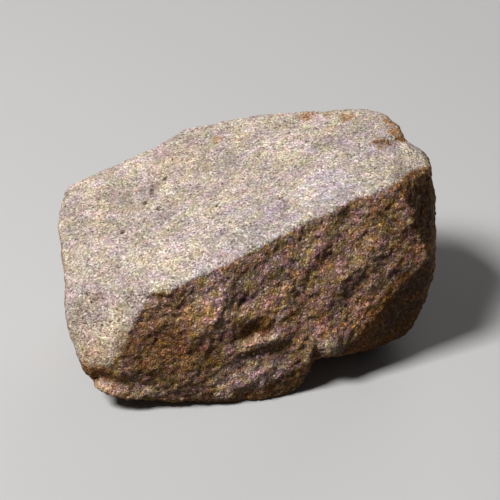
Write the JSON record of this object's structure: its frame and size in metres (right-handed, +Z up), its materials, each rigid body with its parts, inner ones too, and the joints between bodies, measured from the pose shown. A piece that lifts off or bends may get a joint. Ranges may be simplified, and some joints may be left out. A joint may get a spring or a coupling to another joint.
{
  "type": "rough lazulite stone",
  "caption": "Loose block of rough, granular lazulite rock with a flat sloping top, a ribbed broken front and a flat base to rest on.",
  "frame": {"origin": "centre of the stone's box in plan, on the flat base that it rests on", "axes": "+X along the longest side, towards the narrow right end; +Y to the back; +Z up, from the base to the top face"},
  "size_m": [0.1192, 0.0866, 0.0653],
  "materials": {
    "granular_rock": "dull, fine sugary grain, pale pinkish grey with mauve and cream grains and rust stains"
  },
  "bodies": {
    "root": {"lazulite_stone": "granular_rock"}
  },
  "joints": []
}
